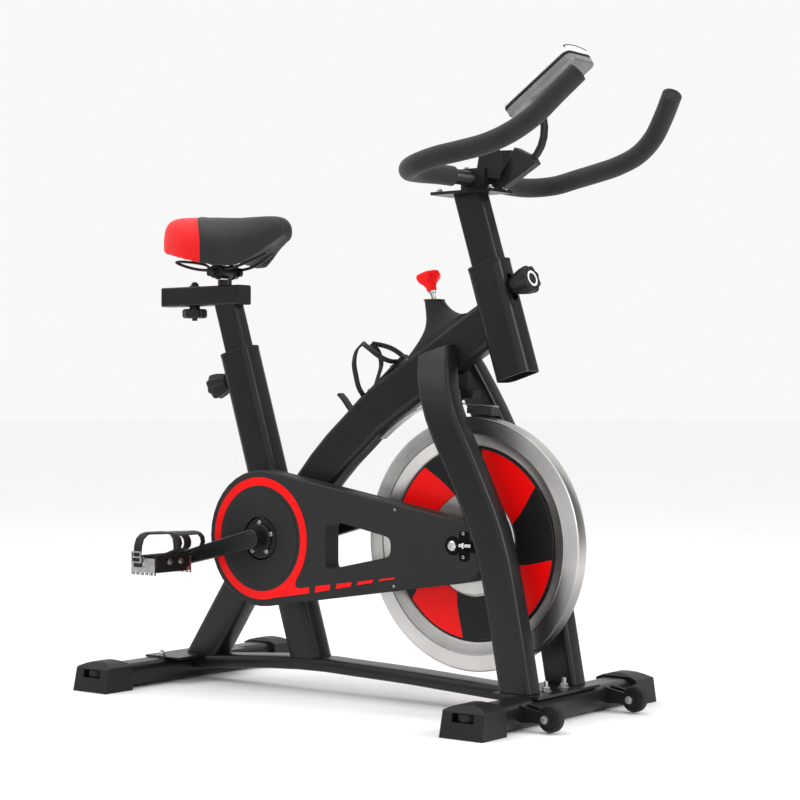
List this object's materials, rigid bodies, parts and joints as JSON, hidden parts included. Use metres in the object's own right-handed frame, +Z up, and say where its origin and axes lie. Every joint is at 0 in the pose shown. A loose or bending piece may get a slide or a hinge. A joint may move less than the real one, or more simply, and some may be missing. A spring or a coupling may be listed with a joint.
{
  "type": "exercise_bike",
  "caption": "Indoor cycling exercise bike with chain-driven flywheel, push brake, adjustable saddle and handlebar posts, bull-horn bar, toe-clip pedals and levelling feet.",
  "frame": {"origin": "Floor level, at the middle of the bike's length and width.", "axes": "+X is the rider's forward direction, +Y the rider's left, +Z up."},
  "size_m": [1.0167, 0.5196, 1.082],
  "materials": {
    "frame": "satin black powder coat",
    "plastic": "moulded black plastic",
    "steel": "machined steel",
    "chrome": "bright plated steel",
    "red": "gloss red",
    "rubber": "black rubber",
    "leather": "black synthetic leather",
    "foam": "dense foam",
    "silver": "silver plastic",
    "felt": "black friction pad"
  },
  "bodies": {
    "frame": {"base_rail": "frame", "rear_stabilizer": "frame", "front_stabilizer": "frame", "rear_strut": "frame", "front_strut": "frame", "seat_tube": "frame", "main_beam": "frame", "head_tube": "frame", "fork_leg_right": "frame", "fork_leg_left": "frame", "end_cap_front_right": "plastic", "end_cap_front_left": "plastic", "end_cap_rear_right": "plastic", "end_cap_rear_left": "plastic", "chain_cover_outer": "plastic", "chain_cover_inner": "plastic", "flywheel_axle": "chrome", "brake_housing": "plastic", "seat_post_sleeve": "plastic", "handlebar_post_sleeve": "plastic", "bottle_cage": "plastic", "chain": "steel"},
    "flywheel_assembly": {"flywheel": "steel", "disc_insert_right": "red", "disc_insert_left": "red", "flywheel_sprocket": "steel"},
    "crankset": {"crank_axle": "frame", "chainring": "steel", "crank_arm_right": "frame", "crank_arm_left": "frame"},
    "brake_plunger": {"brake_rod": "chrome"},
    "brake_knob": {"brake_knob": "red"},
    "brake_lever": {"brake_leaf": "steel", "brake_pad": "felt"},
    "seat_mast": {"seat_post": "frame"},
    "seat_pin": {"seat_post_knob": "plastic"},
    "seat_slide": {"seat_slider": "frame"},
    "slide_lock": {"slider_knob": "plastic"},
    "saddle_unit": {"saddle_rails": "steel", "saddle": "leather"},
    "bar_mast": {"handlebar_post": "frame", "handlebar": "frame", "grip_right": "foam", "grip_left": "foam", "console_bracket": "plastic", "console": "silver"},
    "bar_pin": {"handlebar_post_knob": "plastic"},
    "mode_button": {"console_button": "plastic"},
    "pedal_right": {"pedal_body_right": "plastic", "pedal_cage_right": "steel", "toe_clip_right": "plastic"},
    "transport_right": {"transport_wheel_right": "rubber"},
    "leveller_front_right": {"levelling_wheel_front_right": "rubber"},
    "leveller_rear_right": {"levelling_wheel_rear_right": "rubber"},
    "pedal_left": {"pedal_body_left": "plastic", "pedal_cage_left": "steel", "toe_clip_left": "plastic"},
    "transport_left": {"transport_wheel_left": "rubber"},
    "leveller_front_left": {"levelling_wheel_front_left": "rubber"},
    "leveller_rear_left": {"levelling_wheel_rear_left": "rubber"}
  },
  "joints": [
    {"name": "flywheel_spin", "type": "hinge", "parent": "frame", "child": "flywheel_assembly", "pos_m": [0.198, 0, 0.277], "axis": [0, 1, 0], "continuous": true},
    {"name": "crank_spin", "type": "hinge", "parent": "frame", "child": "crankset", "pos_m": [-0.225, 0, 0.271], "axis": [0, 1, 0], "continuous": true},
    {"name": "pedal_right_spin", "type": "hinge", "parent": "crankset", "child": "pedal_right", "pos_m": [-0.38593, -0.148, 0.23028], "axis": [0, 1, 0], "continuous": true},
    {"name": "pedal_left_spin", "type": "hinge", "parent": "crankset", "child": "pedal_left", "pos_m": [-0.06407, 0.148, 0.31172], "axis": [0, 1, 0], "continuous": true},
    {"name": "transport_right_spin", "type": "hinge", "parent": "frame", "child": "transport_right", "pos_m": [0.432, -0.126, 0.024], "axis": [0, 1, 0], "continuous": true},
    {"name": "leveller_front_right_turn", "type": "hinge", "parent": "frame", "child": "leveller_front_right", "pos_m": [0.355, -0.237, 0.03], "axis": [0, 0, 1], "range_deg": [-180, 180]},
    {"name": "leveller_rear_right_turn", "type": "hinge", "parent": "frame", "child": "leveller_rear_right", "pos_m": [-0.452, -0.237, 0.03], "axis": [0, 0, 1], "range_deg": [-180, 180]},
    {"name": "transport_left_spin", "type": "hinge", "parent": "frame", "child": "transport_left", "pos_m": [0.432, 0.126, 0.024], "axis": [0, 1, 0], "continuous": true},
    {"name": "leveller_front_left_turn", "type": "hinge", "parent": "frame", "child": "leveller_front_left", "pos_m": [0.355, 0.237, 0.03], "axis": [0, 0, 1], "range_deg": [-180, 180]},
    {"name": "leveller_rear_left_turn", "type": "hinge", "parent": "frame", "child": "leveller_rear_left", "pos_m": [-0.452, 0.237, 0.03], "axis": [0, 0, 1], "range_deg": [-180, 180]},
    {"name": "brake_push", "type": "slide", "parent": "frame", "child": "brake_plunger", "axis": [0.2974, 0, -0.9548], "range_m": [0, 0.003], "stiffness_N_per_m": 4000, "springref_m": -0.002},
    {"name": "tension_turn", "type": "hinge", "parent": "brake_plunger", "child": "brake_knob", "pos_m": [0.114, 0, 0.687], "axis": [0.2974, 0, -0.9548], "range_deg": [-360, 360]},
    {"name": "brake_lever_swing", "type": "hinge", "parent": "frame", "child": "brake_lever", "pos_m": [0.004, 0, 0.45], "axis": [0, 1, 0], "range_deg": [0, 1.15]},
    {"name": "seat_height", "type": "slide", "parent": "frame", "child": "seat_mast", "axis": [-0.2974, 0, 0.9548], "range_m": [-0.06, 0.1]},
    {"name": "seat_pin_pull", "type": "slide", "parent": "frame", "child": "seat_pin", "axis": [-0.9548, 0, -0.2974], "range_m": [0, 0.012], "stiffness_N_per_m": 600, "springref_m": -0.005},
    {"name": "saddle_fore_aft", "type": "slide", "parent": "seat_mast", "child": "seat_slide", "axis": [1, 0, 0], "range_m": [-0.03, 0.015]},
    {"name": "slide_lock_turn", "type": "hinge", "parent": "seat_slide", "child": "slide_lock", "pos_m": [-0.442, 0, 0.68], "axis": [0, 0, 1], "range_deg": [-180, 180]},
    {"name": "saddle_tilt", "type": "hinge", "parent": "seat_slide", "child": "saddle_unit", "pos_m": [-0.366, 0, 0.752], "axis": [0, 1, 0], "range_deg": [-8, 8]},
    {"name": "handlebar_height", "type": "slide", "parent": "frame", "child": "bar_mast", "axis": [-0.2974, 0, 0.9548], "range_m": [-0.05, 0.08]},
    {"name": "bar_pin_pull", "type": "slide", "parent": "frame", "child": "bar_pin", "axis": [0.9548, 0, 0.2974], "range_m": [0, 0.012], "stiffness_N_per_m": 600, "springref_m": -0.005},
    {"name": "mode_button_press", "type": "slide", "parent": "bar_mast", "child": "mode_button", "axis": [0.565, 0, -0.8251], "range_m": [0, 0.001], "stiffness_N_per_m": 400, "springref_m": -0.0005}
  ],
  "couplings": [
    {"joint": "crank_spin", "follows": "flywheel_spin", "ratio": 0.375},
    {"joint": "brake_lever_swing", "follows": "brake_push", "rad_per_m": 6.67}
  ]
}
